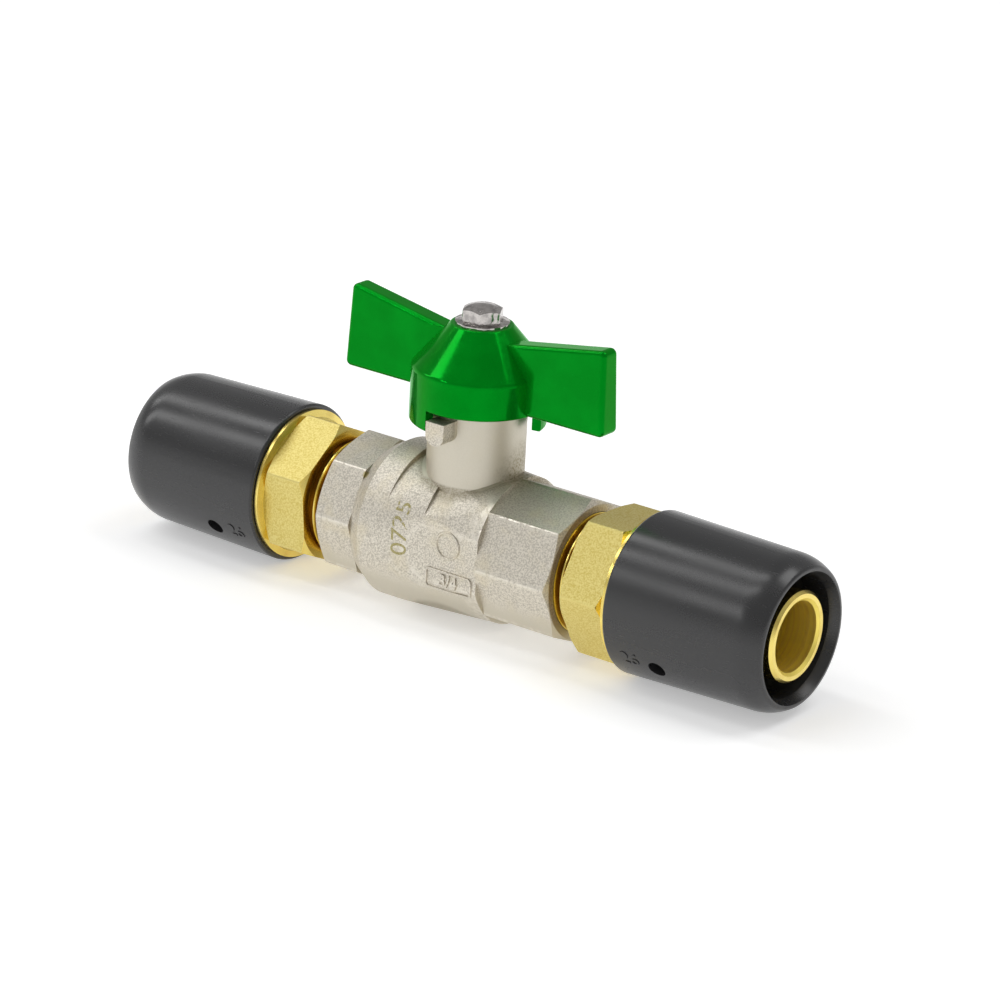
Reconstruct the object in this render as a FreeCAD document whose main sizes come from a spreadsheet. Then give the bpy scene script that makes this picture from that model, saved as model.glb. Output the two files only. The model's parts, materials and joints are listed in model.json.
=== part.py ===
import FreeCAD, Part
import math
import os
import Sketcher

# Isolating ball valve with push-fit ends for multilayer pipe, in millimetres.
# The pipe axis is X, the stem axis is Z and the origin is the ball's centre.
# Pieces that come in pairs are drawn on the +X side; the left one is turned half round the stem axis.

doc = FreeCAD.newDocument("IsolatingValve")
sheet = doc.addObject("Spreadsheet::Sheet", "Dims")

# Driving sizes. "At", "Start" and "End" are distances from the stem axis along the pipe.
SIZES = [
    ("bodyEnd", 31.2, "the body's end face"),
    ("connectorEnd", 30.5, "the end connector's end face"),
    ("flatsAcross", 30.0, "across the eight flats at each end"),
    ("cornerLand", 0.08, "the corners of all flats are turned down by this"),
    ("faceRadius", 14.8, "turned end face inside the flats"),
    ("flatsStart", 12.6, "where the right-hand flats begin"),
    ("bulgeRadius", 17.5, "round bulge over the ball"),
    ("bulgeStart", 17.4, "where the left shoulder cone meets the bulge"),
    ("shoulderAt", 21.0, "seam between body and end connector"),
    ("shoulderRadius", 15.4, "body's own end face at that seam"),
    ("bandEnd", 11.5, "end of the plain round band"),
    ("ledgeInset", 1.0, "beside the band the forging's top lies this deep"),
    ("ledgeDrop", 2.35, "that lower top is round about a line this far below the pipe axis"),
    ("panelStart", 1.7, "left end of the forged facets, left of the stem"),
    ("panelInset", 2.5, "front and back panels lie this deep in the bulge"),
    ("panelBottom", 8.6, "lower edge of those panels below the pipe axis"),
    ("panelSlope", 14.3, "slope at which those panels run out toward the band"),
    ("facetInset", 1.2, "the sloping facets above them lie this deep"),
    ("crownInset", 1.7, "the forging's flat top beside the neck lies this deep"),
    ("neckRadius", 10.5, "neck round the stem"),
    ("neckTop", 31.0, "top of the neck"),
    ("lugWidth", 4.7, "stop lug across"),
    ("lugSink", 0.5, "the lug starts this deep inside the neck"),
    ("lugReach", 15.0, "stop lug's end from the stem axis"),
    ("lugBottom", 24.0, "underside of the stop lug"),
    ("lugTop", 29.0, "top of the stop lug"),
    ("lugRound", 2.2, "rounding of its lower corners"),
    ("threadRadius", 13.1, "pipe thread, over the crests"),
    ("threadGap", 0.1, "play between two threads"),
    ("threadDepth", 16.2, "depth of each tapped end"),
    ("ballRadius", 12.6, "ball"),
    ("wayRadius", 8.0, "waterway through the ball"),
    ("wayGap", 0.2, "extra radius of the waterway in body and seats"),
    ("chamberGap", 0.4, "free space round the ball"),
    ("seatGap", 0.1, "play between ball, seat rings and their pockets"),
    ("seatOuter", 11.0, "outside radius of a seat ring"),
    ("seatBack", 12.4, "back face of a seat ring"),
    ("noseEnd", 8.2, "inner end of the connector's nose"),
    ("noseGap", 0.08, "play between the nose and the body"),
    ("noseThread", 14.0, "thread of the end connector"),
    ("connectorAngle", 41.0, "corner of the connector's flats, from the top toward the front"),
    ("stemRadius", 4.5, "stem shaft"),
    ("stemGap", 0.08, "play between stem and body"),
    ("stemShoulder", 5.5, "radius of the stem's shoulder"),
    ("shoulderLow", 13.5, "underside of that shoulder"),
    ("shoulderHigh", 16.2, "top of that shoulder"),
    ("washerHeight", 1.0, "anti-friction ring on the shoulder"),
    ("tangWidth", 5.0, "thickness of the tang that enters the ball"),
    ("tangLength", 9.0, "length of the tang"),
    ("slotDepth", 2.8, "depth of the slot in the ball"),
    ("slotGap", 0.1, "play of the tang in the slot, and of the stem's other fits"),
    ("stemFlats", 6.6, "across the two flats at the stem's top"),
    ("stemFlatsLow", 38.0, "where the two flats begin"),
    ("stemSink", 0.6, "the stem ends this far below the handle's top"),
    ("stemRingLow", 20.6, "height of the lower ring groove"),
    ("stemRingPitch", 4.2, "from the lower to the upper groove"),
    ("ringWire", 1.1, "thickness of a stem ring and of the connector's ring"),
    ("hubTop", 47.7, "flat top of the handle"),
    ("hubTopRadius", 6.6, "its radius"),
    ("coneFoot", 38.3, "where the handle's cone meets its skirt"),
    ("coneBend", 1.5, "rounding of that edge"),
    ("skirtRadius", 14.6, "outside radius of the skirt"),
    ("skirtWall", 2.1, "thickness of the skirt"),
    ("skirtLow", 30.6, "shallow rim of the skirt"),
    ("skirtDeep", 26.2, "deep rim of the skirt, whose two ends are the stops"),
    ("rimRound", 0.5, "rounding of the rims"),
    ("ceiling", 36.6, "top of the hollow under the handle"),
    ("stopGap", 0.25, "play at each stop"),
    ("wingTip", 33.6, "wing tip from the stem axis, at mid height"),
    ("wingRake", 0.4, "a tip leans in at the top and out at the bottom by this"),
    ("wingLow", 30.9, "straight lower edge of the wings"),
    ("wingHigh", 49.6, "top corner of a wing at its tip"),
    ("wingRoot", 45.2, "top edge of a wing where it enters the cone"),
    ("wingRootAt", 7.5, "how far inside the cone that edge ends"),
    ("wingWidth", 5.8, "thickness of a wing along its lower edge"),
    ("wingThin", 4.8, "its thickness at the height of its top corner"),
    ("wingCorner", 1.3, "corner radius at the tips"),
    ("wingRound", 1.0, "rounding along the wings' edges"),
    ("screwFlange", 5.8, "radius of the screw's flange"),
    ("screwFlangeHeight", 0.5, "its rim height"),
    ("screwAcross", 8.0, "across the screw's flats"),
    ("screwHead", 4.3, "height of the screw's domed head"),
    ("screwDome", 1.3, "height of the dome"),
    ("screwAngle", 28.0, "the screw as tightened: a corner of its head, from the back toward the left"),
    ("screwShank", 2.4, "radius of the shank"),
    ("screwLength", 10.0, "length of the shank"),
    ("screwBevel", 0.5, "bevel at its tip"),
    ("adapterFace", 34.5, "adapter's face toward the valve"),
    ("adapterAcross", 29.0, "across the adapter's six flats"),
    ("adapterInner", 16.6, "inner end of the adapter's thread"),
    ("adapterAngleLeft", 6.0, "corner of the left adapter's flats, from the top toward the front"),
    ("adapterAngleRight", 28.5, "corner of the right adapter's flats"),
    ("threadPitch", 1.81, "pitch of the pipe thread, whose last turn shows beside the adapter"),
    ("threadAngle", 27.5, "slope of a thread flank"),
    ("undercutDepth", 1.2, "depth of the thread and of the relief behind it"),
    ("undercutLength", 1.4, "length of that relief"),
    ("threadLeadIn", 0.9, "bevel at the thread's nose"),
    ("hexChamfer", 1.5, "radial size of the turned chamfer on the flats"),
    ("hexEnd", 45.2, "where the flats stop at the collar"),
    ("collarRadius", 16.6, "round collar beside the sleeve"),
    ("collarEnd", 46.5, "collar's face toward the sleeve"),
    ("collarBevel", 0.5, "bevel on the collar"),
    ("spigotRadius", 15.0, "spigot that carries the sleeve"),
    ("spigotEnd", 50.6, "end of the spigot"),
    ("snapDepth", 0.7, "depth of the snap groove in the spigot"),
    ("snapStart", 47.9, "start of the snap groove"),
    ("snapWidth", 1.4, "width of the snap groove"),
    ("snapGap", 0.1, "play of the sleeve and its snap bead on the spigot"),
    ("stubRadius", 9.8, "stub that enters the pipe"),
    ("stubWall", 2.15, "wall of the stub round its waterway"),
    ("stubEnd", 83.2, "end of the stub"),
    ("stubBevel", 0.6, "bevel at the stub's end, outside and inside"),
    ("stubRingAt", 58.5, "inner ring groove of the stub"),
    ("stubRingPitch", 5.5, "from there to the outer groove"),
    ("stubRingWire", 1.8, "thickness of a stub ring"),
    ("stubRingProud", 0.35, "a ring stands out of the stub by this"),
    ("stubGrooveWidth", 2.3, "width of a ring groove"),
    ("pipeOuter", 13.0, "outside radius of the multilayer pipe"),
    ("pipeGap", 0.25, "play between pipe and sleeve"),
    ("baseThickness", 2.0, "insulating base ring"),
    ("ringGap", 0.15, "play between the sleeve and the rings inside it"),
    ("spacerLength", 16.7, "length of the spacer ring"),
    ("gripLength", 6.45, "length of the grip ring"),
    ("gripTaper", 1.0, "the grip ring's radius falls by this toward the mouth"),
    ("toothDepth", 0.4, "depth of the grip teeth"),
    ("gripSplit", 2.6, "gap in the split grip ring"),
    ("sleeveStart", 46.7, "sleeve's end beside the collar"),
    ("sleeveEnd", 84.2, "mouth of the sleeve"),
    ("sleeveRadius", 17.6, "sleeve beside the collar"),
    ("sleeveMouth", 16.9, "sleeve where its mouth begins to round"),
    ("sleeveEdge", 0.6, "edge radius beside the collar"),
    ("mouthRound", 6.2, "length of the rounded mouth"),
    ("mouthArc", 11.0, "radius of that rounding"),
    ("lipRadius", 14.4, "crest of the mouth's lip"),
    ("lipRound", 1.0, "rounding of the lip"),
    ("lipWidth", 0.25, "flat crest of the lip"),
    ("mouthDepth", 2.2, "length of the lead-in for the pipe"),
    ("windowAt", 59.0, "inspection hole"),
    ("windowSize", 4.0, "its diameter"),
    ("windowAngle", 124.0, "its direction, from the top toward the front"),
]

# Sizes that follow from the driving ones.
DERIVED = [
    ("outside", "bulgeRadius + neckRadius"),
    ("flatsCorner", "flatsAcross / 2 / cos(22.5)"),
    ("flatsRadius", "flatsCorner - cornerLand"),
    ("endBevel", "(flatsRadius - faceRadius) / 2"),
    ("flatsEnd", "bodyEnd - endBevel"),
    ("connectorFlatsEnd", "connectorEnd - endBevel"),
    ("ledgeStart", "-panelStart"),
    ("ledgeLength", "bandEnd - panelStart"),
    ("ledgeWidth", "(bulgeRadius - ledgeInset + ledgeDrop) * 2"),
    ("panelOffset", "bulgeRadius - panelInset"),
    ("panelFoot", "-panelBottom"),
    ("panelRise", "outside + panelBottom"),
    ("panelReach", "panelStart + (outside - panelOffset) / tan(panelSlope)"),
    ("facetOffset", "bulgeRadius - facetInset"),
    ("crownHeight", "bulgeRadius - crownInset"),
    ("facetLength", "flatsStart + panelStart"),
    ("facetFoot", "facetOffset * sqrt(2) - panelOffset"),
    ("crownHalf", "facetOffset * sqrt(2) - crownHeight"),
    ("neckWidth", "neckRadius * 2"),
    ("neckLength", "neckTop - noseEnd"),
    ("lugHalf", "lugWidth / 2"),
    ("lugRoot", "neckRadius - lugSink"),
    ("lugLength", "lugReach - lugRoot"),
    ("lugSide", "lugHalf - lugRound"),
    ("lugCorner", "lugBottom + lugRound"),
    ("tapRadius", "threadRadius + threadGap"),
    ("tapEnd", "bodyEnd - threadDepth"),
    ("connectorTapEnd", "connectorEnd - threadDepth"),
    ("bodyWay", "wayRadius + wayGap"),
    ("ballSide", "sqrt(ballRadius * ballRadius - wayRadius * wayRadius)"),
    ("ballWidth", "ballRadius * 2"),
    ("chamberRadius", "ballRadius + chamberGap"),
    ("seatPocket", "seatBack + seatGap"),
    ("seatRim", "seatOuter + seatGap"),
    ("seatCurve", "ballRadius + seatGap"),
    ("seatFront", "noseEnd + seatGap"),
    ("seatContact", "sqrt(seatCurve * seatCurve - seatFront * seatFront)"),
    ("seatLip", "sqrt(seatCurve * seatCurve - bodyWay * bodyWay)"),
    ("noseRadius", "chamberRadius - noseGap"),
    ("socketEnd", "bandEnd + noseGap"),
    ("socketRadius", "noseThread + threadGap"),
    ("noseStep", "socketEnd + noseGap"),
    ("grooveHalf", "ringWire * 0.6"),
    ("noseRingAt", "(noseStep + noseEnd) / 2"),
    ("noseRingFloor", "noseRadius - ringWire"),
    ("noseRingRadius", "noseRadius - ringWire / 2"),
    ("noseRingLow", "noseRingAt - grooveHalf"),
    ("noseRingHigh", "noseRingAt + grooveHalf"),
    ("stemBore", "stemRadius + stemGap"),
    ("stemPocket", "stemShoulder + slotGap"),
    ("washerTop", "shoulderHigh + washerHeight"),
    ("pocketTop", "washerTop + slotGap"),
    ("slotFloor", "ballRadius - slotDepth"),
    ("slotHalf", "tangWidth / 2 + slotGap"),
    ("tangFoot", "slotFloor + slotGap"),
    ("tangHeight", "shoulderLow - tangFoot"),
    ("tangHalf", "tangWidth / 2"),
    ("tangReach", "tangLength / 2"),
    ("stemHalfFlats", "stemFlats / 2"),
    ("stemTop", "hubTop - stemSink"),
    ("stemFlatsHeight", "stemTop - stemFlatsLow"),
    ("stemRingFloor", "stemRadius - ringWire"),
    ("stemRingRadius", "stemRadius - ringWire / 2"),
    ("stemRingHigh", "stemRingLow + stemRingPitch"),
    ("lowGrooveFoot", "stemRingLow - grooveHalf"),
    ("lowGrooveHead", "stemRingLow + grooveHalf"),
    ("highGrooveFoot", "stemRingHigh - grooveHalf"),
    ("highGrooveHead", "stemRingHigh + grooveHalf"),
    ("screwHole", "screwShank + slotGap"),
    ("screwFoot", "hubTop - screwLength"),
    ("screwHoleFloor", "screwFoot - screwBevel"),
    ("screwHoleTip", "screwHoleFloor - screwHole / 2"),
    ("skirtInner", "skirtRadius - skirtWall"),
    ("hubBore", "stemRadius + slotGap"),
    ("hubHalfFlats", "stemHalfFlats + slotGap"),
    ("hubBoreSide", "sqrt(hubBore * hubBore - hubHalfFlats * hubHalfFlats)"),
    ("hubFlatsHeight", "hubTop - stemFlatsLow"),
    ("coneRun", "skirtRadius - hubTopRadius"),
    ("coneRise", "hubTop - coneFoot"),
    ("coneSide", "sqrt(coneRun * coneRun + coneRise * coneRise)"),
    ("bendLength", "coneBend * coneRun / (coneSide + coneRise)"),
    ("bendLow", "coneFoot - bendLength"),
    ("bendHigh", "coneFoot + bendLength * coneRise / coneSide"),
    ("bendHighRadius", "skirtRadius - bendLength * coneRun / coneSide"),
    ("stopSine", "(lugHalf + stopGap) / skirtInner"),
    ("stopSide", "outside * stopSine"),
    ("stopReach", "outside * sqrt(1 - stopSine * stopSine)"),
    ("openingHeight", "skirtLow - skirtDeep"),
    ("wingTipLow", "wingTip + wingRake"),
    ("wingTipHigh", "wingTip - wingRake"),
    ("wingSpan", "(wingTipLow + wingCorner) * 2"),
    ("wingHalfLow", "wingWidth / 2"),
    ("wingHalfHigh", "wingThin / 2"),
    ("wingInner", "skirtRadius - skirtWall / 2"),
    ("wingStep", "stemFlatsLow + wingRound"),
    ("screwCorner", "screwAcross / 2 / cos(30)"),
    ("screwRadius", "screwCorner - cornerLand"),
    ("screwRimTop", "hubTop + screwFlangeHeight"),
    ("screwConeTop", "screwRimTop + screwFlangeHeight / 2"),
    ("screwTop", "hubTop + screwHead"),
    ("screwShoulder", "screwTop - screwDome"),
    ("screwTipRadius", "screwShank - screwBevel"),
    ("screwTaper", "screwFoot + screwBevel"),
    ("screwDomeRadius", "(screwRadius * screwRadius + screwDome * screwDome) / (2 * screwDome)"),
    ("adapterCorner", "adapterAcross / 2 / cos(30)"),
    ("hexLength", "hexEnd - adapterFace"),
    ("hexRadius", "adapterCorner - cornerLand"),
    ("hexFaceRadius", "hexRadius - hexChamfer"),
    ("hexFull", "adapterFace + hexChamfer * tan(30)"),
    ("hexClose", "hexEnd - hexChamfer * tan(30)"),
    ("threadLead", "adapterInner + threadLeadIn"),
    ("threadLeadRadius", "threadRadius - threadLeadIn"),
    ("undercutRadius", "threadRadius - undercutDepth"),
    ("threadFlank", "undercutDepth * tan(threadAngle)"),
    ("threadCrest", "threadPitch / 2 - threadFlank"),
    ("threadEnd", "adapterFace - undercutLength"),
    ("threadRunOut", "threadEnd + threadFlank"),
    ("lastCrest", "threadEnd - threadCrest"),
    ("valleyEnd", "lastCrest - threadFlank"),
    ("valleyStart", "valleyEnd - threadCrest"),
    ("crestBefore", "valleyStart - threadFlank"),
    ("collarStart", "hexEnd + collarBevel"),
    ("snapRadius", "spigotRadius - snapDepth"),
    ("snapEnd", "snapStart + snapWidth"),
    ("beadStart", "snapStart + snapGap"),
    ("beadEnd", "snapEnd - snapGap"),
    ("beadRadius", "snapRadius + snapGap"),
    ("stubBore", "stubRadius - stubWall"),
    ("stubRingFloor", "stubRadius + stubRingProud - stubRingWire"),
    ("stubRingRadius", "stubRadius + stubRingProud - stubRingWire / 2"),
    ("stubRingOuter", "stubRingAt + stubRingPitch"),
    ("innerGrooveStart", "stubRingAt - stubGrooveWidth / 2"),
    ("innerGrooveEnd", "stubRingAt + stubGrooveWidth / 2"),
    ("outerGrooveStart", "stubRingOuter - stubGrooveWidth / 2"),
    ("outerGrooveEnd", "stubRingOuter + stubGrooveWidth / 2"),
    ("stubTipStart", "stubEnd - stubBevel"),
    ("stubTipRadius", "stubRadius - stubBevel"),
    ("stubMouth", "stubBore + stubBevel"),
    ("sleeveSocket", "spigotRadius + snapGap"),
    ("sleeveWay", "pipeOuter + pipeGap"),
    ("ringOuter", "sleeveSocket - ringGap"),
    ("baseInner", "stubRadius + ringGap"),
    ("baseStart", "spigotEnd + ringGap"),
    ("baseEnd", "baseStart + baseThickness"),
    ("spacerStart", "baseEnd + ringGap"),
    ("spacerEnd", "spacerStart + spacerLength"),
    ("gripStart", "spacerEnd + ringGap"),
    ("gripEnd", "gripStart + gripLength"),
    ("gripFront", "ringOuter - gripTaper"),
    ("gripInner", "pipeOuter + ringGap"),
    ("gripRoot", "gripInner + toothDepth"),
    ("gripHalfSplit", "gripSplit / 2"),
    ("toothFirst", "gripStart + gripLength / 4"),
    ("toothSecond", "gripStart + gripLength / 2"),
    ("toothThird", "gripEnd - gripLength / 4"),
    ("coneStart", "gripStart + ringGap"),
    ("coneEnd", "gripEnd + ringGap"),
    ("coneFront", "gripFront + ringGap"),
    ("sleeveHead", "sleeveStart + sleeveEdge"),
    ("sleeveEdgeRadius", "sleeveRadius - sleeveEdge"),
    ("mouthStart", "sleeveEnd - mouthRound"),
    ("mouthInner", "sleeveEnd - mouthDepth"),
    ("lipStart", "sleeveEnd - lipRound / 2"),
    ("lipOuter", "lipRadius + lipRound * 0.9"),
    ("lipInner", "lipRadius - lipWidth"),
]

rows = [(alias, "%g" % value, note) for alias, value, note in SIZES]
rows += [(alias, "=" + formula, "") for alias, formula in DERIVED]
for row, (alias, content, note) in enumerate(rows, start=1):
    sheet.set("A%d" % row, alias)
    sheet.set("B%d" % row, content)
    sheet.set("C%d" % row, note)
    sheet.setAlias("B%d" % row, alias)
doc.recompute()

# How a sketch names a line's two ends, its own origin and its own axes.
START, END, CENTRE = range(1, 4)
AXIS_ACROSS, AXIS_UP = range(-1, -3, -1)
ORIGIN = (AXIS_ACROSS, START)
UPWARD = FreeCAD.Vector(0, 0, 1)
HALF_TURN = FreeCAD.Placement(FreeCAD.Vector(), FreeCAD.Rotation(UPWARD, 180))
SIDES = {"right": 1, "left": -1}
TINY = 0.001


def size(name):
    # Value of a named size; a minus sign in front gives its negative, and 0 is zero.
    if name == "0":
        return 0.0
    if name.startswith("-"):
        return -size(name[1:])
    return float(sheet.get(name))


def newBody(name, side="right"):
    body = doc.addObject("PartDesign::Body", name)
    body.Label = name
    if side == "left":
        body.Placement = HALF_TURN
    return body


def sketchOn(body, plane, name, height=""):
    # A sketch on one of the body's own origin planes, or lifted off it by a named height.
    sketch = body.newObject("Sketcher::SketchObject", name)
    support = [item for item in body.Origin.OriginFeatures if item.Role == plane][0]
    sketch.AttachmentSupport = [(support, "")]
    sketch.MapMode = "FlatFace"
    if height:
        sketch.setExpression("AttachmentOffset.Base.z", "Dims." + height)
    sketch.Visibility = False
    return sketch


def turnSketch(sketch, axis, angle):
    # Turn a sketch about an axis of its own by a named angle.
    turn = FreeCAD.Rotation(axis, size(angle))
    sketch.AttachmentOffset = FreeCAD.Placement(sketch.AttachmentOffset.Base, turn)
    sketch.setExpression("AttachmentOffset.Rotation.Angle", "Dims." + angle)


def measure(sketch, kind, where, name):
    # One measured constraint, tied to its named size.
    index = sketch.addConstraint(Sketcher.Constraint(kind, *where, abs(size(name))))
    sketch.setExpression("Constraints[%d]" % index, "Dims." + name.lstrip("-"))


def pin(sketch, line, end, across, up):
    # Hold a point at the named distances from the sketch's origin.
    for kind, name, axis in (("DistanceX", across, AXIS_UP), ("DistanceY", up, AXIS_ACROSS)):
        if name == "0":
            sketch.addConstraint(Sketcher.Constraint("PointOnObject", line, end, axis))
        elif name.startswith("-"):
            measure(sketch, kind, (line, end) + ORIGIN, name)
        else:
            measure(sketch, kind, ORIGIN + (line, end), name)


def arcBetween(start, end, radius, left):
    # Arc from start to end with its centre on the left or the right of the way.
    half = (end - start).Length / 2
    rise = math.sqrt(max(radius * radius - half * half, 0.0))
    along = (end - start).normalize()
    aside = FreeCAD.Vector(-along.y, along.x, 0) * (rise if left else -rise)
    centre = (start + end) / 2 + aside
    first, last = (start, end) if left else (end, start)
    begin = math.atan2(first.y - centre.y, first.x - centre.x)
    finish = math.atan2(last.y - centre.y, last.x - centre.x)
    if finish < begin:
        finish += 2 * math.pi
    return Part.ArcOfCircle(Part.Circle(centre, UPWARD, radius), begin, finish)


def outline(sketch, points):
    # Closed outline through named points. A third entry makes an arc of that radius to the next
    # point, which turns left with "+" and right with "-".
    spots = [FreeCAD.Vector(size(point[0]), size(point[1]), 0) for point in points]
    following = spots[1:] + spots[:1]
    lines = []
    for point, start, end in zip(points, spots, following):
        if len(point) == 2:
            line = sketch.addGeometry(Part.LineSegment(start, end), False)
            lines.append((line, START, END))
            continue
        left = point[2].startswith("+")
        line = sketch.addGeometry(arcBetween(start, end, size(point[2][1:]), left), False)
        lines.append((line, START, END) if left else (line, END, START))
    for (line, start, end), after in zip(lines, lines[1:] + lines[:1]):
        sketch.addConstraint(Sketcher.Constraint("Coincident", line, end, after[0], after[1]))
    for point, (line, start, end) in zip(points, lines):
        pin(sketch, line, start, point[0], point[1])
        if len(point) == 3:
            measure(sketch, "Radius", (line,), point[2][1:])


def circle(sketch, across, up, diameter):
    spot = FreeCAD.Vector(size(across), size(up), 0)
    line = sketch.addGeometry(Part.Circle(spot, UPWARD, size(diameter) / 2), False)
    pin(sketch, line, CENTRE, across, up)
    measure(sketch, "Diameter", (line,), diameter)


def polygon(sketch, sides, radius):
    # Regular polygon round the sketch's origin, its corners at a named radius, one straight up.
    guide = sketch.addGeometry(Part.Circle(FreeCAD.Vector(), UPWARD, size(radius)), True)
    sketch.addConstraint(Sketcher.Constraint("Coincident", guide, CENTRE, *ORIGIN))
    measure(sketch, "Radius", (guide,), radius)
    corner = FreeCAD.Vector(0, size(radius), 0)
    turn = FreeCAD.Rotation(UPWARD, 360 / sides)
    lines = []
    for number in range(sides):
        following = turn.multVec(corner)
        lines.append(sketch.addGeometry(Part.LineSegment(corner, following), False))
        corner = following
    for line, after in zip(lines, lines[1:] + lines[:1]):
        sketch.addConstraint(Sketcher.Constraint("Coincident", line, END, after, START))
        sketch.addConstraint(Sketcher.Constraint("PointOnObject", line, START, guide))
    for line in lines[1:]:
        sketch.addConstraint(Sketcher.Constraint("Equal", lines[0], line))
    sketch.addConstraint(Sketcher.Constraint("PointOnObject", lines[0], START, AXIS_UP))


def surround(sketch):
    # A circle outside the piece: with a shape inside it, a cut leaves only that shape.
    line = sketch.addGeometry(Part.Circle(FreeCAD.Vector(), UPWARD, size("outside")), False)
    sketch.addConstraint(Sketcher.Constraint("Coincident", line, CENTRE, *ORIGIN))
    measure(sketch, "Radius", (line,), "outside")


def revolve(body, sketch, axis, kind="PartDesign::Revolution"):
    feature = body.newObject(kind, sketch.Name + "Turned")
    feature.Profile = sketch
    feature.ReferenceAxis = (sketch, [axis])
    feature.Angle = 360.0


def turned(body, name, points, axis="H_Axis", kind="PartDesign::Revolution"):
    # Turn a named outline, drawn in the plane of pipe and stem, about one of those axes.
    sketch = sketchOn(body, "XZ_Plane", name)
    outline(sketch, points)
    revolve(body, sketch, axis, kind)


def extrude(body, sketch, length, kind, reverse=False, both=False):
    # Pad or pocket as long as a named size, along the sketch's normal or against it.
    feature = body.newObject(kind, sketch.Name + "Run")
    feature.Profile = sketch
    feature.Reversed = reverse
    feature.Midplane = both
    feature.setExpression("Length", "Dims." + length)


def cut(body, sketch, length, ahead=True, both=False):
    # Pocket along the sketch's normal (ahead) or against it; one that cuts nothing is an error.
    doc.recompute()
    before = body.Shape.Volume
    extrude(body, sketch, length, "PartDesign::Pocket", ahead, both)
    doc.recompute()
    if body.Shape.Volume > before - TINY:
        raise RuntimeError("%s cuts nothing from %s" % (sketch.Name, body.Label))


def flatten(body, name, plane, sides, corner, start, length, turn="", side="right"):
    # Flats of a regular polygon from a named start on, turned by a named angle from the top.
    sketch = sketchOn(body, plane, name, start)
    if turn:
        turnSketch(sketch, FreeCAD.Vector(0, 0, SIDES[side]), turn)
    polygon(sketch, sides, corner)
    surround(sketch)
    cut(body, sketch, length)


def roundEdges(body, name, radius, chosen):
    # Fillet of a named radius along the edges that pass a test.
    doc.recompute()
    base = body.Tip
    edges = ["Edge%d" % number for number, edge in enumerate(base.Shape.Edges, start=1) if chosen(edge)]
    fillet = body.newObject("PartDesign::Fillet", name)
    fillet.Base = (base, edges)
    fillet.setExpression("Radius", "Dims." + radius)


def makeBody():
    body = newBody("valve_body")
    turned(body, "Forging", [
        ("-shoulderAt", "0"), ("-shoulderAt", "shoulderRadius"), ("-bulgeStart", "bulgeRadius"),
        ("-bandEnd", "bulgeRadius"), ("flatsStart", "flatsRadius"), ("bodyEnd", "flatsRadius"),
        ("bodyEnd", "0")])
    flatten(body, "EndFlats", "YZ_Plane", 8, "flatsCorner", "flatsStart", "outside")
    turned(body, "EndBevel", [
        ("flatsEnd", "flatsRadius"), ("bodyEnd", "faceRadius"), ("bodyEnd", "outside"),
        ("flatsEnd", "outside")], kind="PartDesign::Groove")

    # The flat panels run out toward the band, so that they end without a wall.
    panels = sketchOn(body, "XY_Plane", "Panels", "panelFoot")
    for sign in ("", "-"):
        near, far = sign + "panelOffset", sign + "outside"
        outline(panels, [("-panelStart", near), ("flatsStart", near), ("flatsStart", far), ("-panelReach", far)])
    cut(body, panels, "panelRise")

    # Beside the band the top is a little lower, most under the neck and not at all toward the front.
    ledge = sketchOn(body, "YZ_Plane", "Ledge", "ledgeStart")
    circle(ledge, "0", "-ledgeDrop", "ledgeWidth")
    surround(ledge)
    cut(body, ledge, "ledgeLength", ahead=False)

    facets = sketchOn(body, "YZ_Plane", "Facets", "flatsStart")
    outline(facets, [
        ("panelOffset", "0"), ("outside", "0"), ("outside", "outside"), ("-outside", "outside"),
        ("-outside", "0"), ("-panelOffset", "0"), ("-panelOffset", "facetFoot"),
        ("-crownHalf", "crownHeight"), ("crownHalf", "crownHeight"), ("panelOffset", "facetFoot")])
    cut(body, facets, "facetLength", ahead=False)

    neck = sketchOn(body, "XY_Plane", "Neck", "noseEnd")
    circle(neck, "0", "0", "neckWidth")
    extrude(body, neck, "neckLength", "PartDesign::Pad")

    lug = sketchOn(body, "XZ_Plane", "StopLug", "lugRoot")
    outline(lug, [
        ("-lugHalf", "lugTop"), ("-lugHalf", "lugCorner", "+lugRound"), ("-lugSide", "lugBottom"),
        ("lugSide", "lugBottom", "+lugRound"), ("lugHalf", "lugCorner"), ("lugHalf", "lugTop")])
    extrude(body, lug, "lugLength", "PartDesign::Pad")

    turned(body, "Inside", [
        ("-shoulderAt", "0"), ("-shoulderAt", "socketRadius"), ("-socketEnd", "socketRadius"),
        ("-socketEnd", "chamberRadius"), ("noseEnd", "chamberRadius"), ("noseEnd", "seatRim"),
        ("seatPocket", "seatRim"), ("seatPocket", "bodyWay"), ("tapEnd", "bodyWay"),
        ("tapEnd", "tapRadius"), ("bodyEnd", "tapRadius"), ("bodyEnd", "0")], kind="PartDesign::Groove")
    turned(body, "StemBore", [
        ("0", "noseEnd"), ("stemPocket", "noseEnd"), ("stemPocket", "pocketTop"),
        ("stemBore", "pocketTop"), ("stemBore", "neckTop"), ("0", "neckTop")], "V_Axis", "PartDesign::Groove")


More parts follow.
